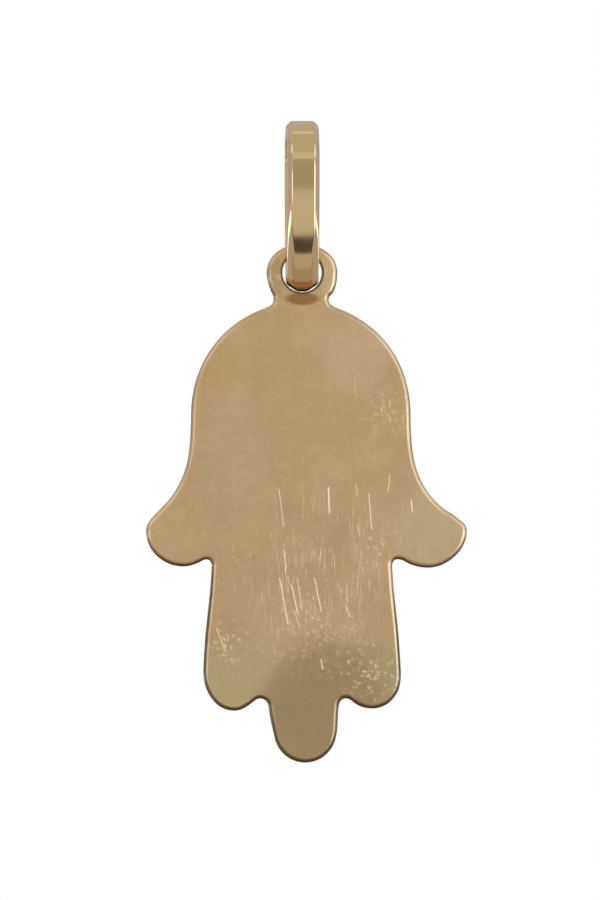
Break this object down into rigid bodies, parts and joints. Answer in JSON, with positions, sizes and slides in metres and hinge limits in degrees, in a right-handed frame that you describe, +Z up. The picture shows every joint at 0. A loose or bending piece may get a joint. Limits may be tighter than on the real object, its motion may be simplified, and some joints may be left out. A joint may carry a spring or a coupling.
{
  "type": "hamsa pendant",
  "caption": "Flat hand-shaped pendant in yellow gold with an eye at its wrist, hanging and swinging on a closed teardrop bail of bevelled strip.",
  "frame": {"origin": "where a chain bears: the middle of the bail's inner crown", "axes": "+Z up along the hanging pendant, X across the hand, and the hand's face looks along -Y"},
  "size_m": [0.0171, 0.0044, 0.034],
  "materials": {
    "bail_gold": "polished yellow gold with soft bevels",
    "plate_gold": "polished yellow gold, worn to a satin with fine scratches"
  },
  "bodies": {
    "bail": {"bail": "bail_gold"},
    "hand": {"plate": "plate_gold"}
  },
  "joints": [
    {"name": "hand_swing", "type": "hinge", "parent": "bail", "child": "hand", "pos_m": [0, 0, -0.00595], "axis": [1, 0, 0], "range_deg": [-110, 110]}
  ]
}
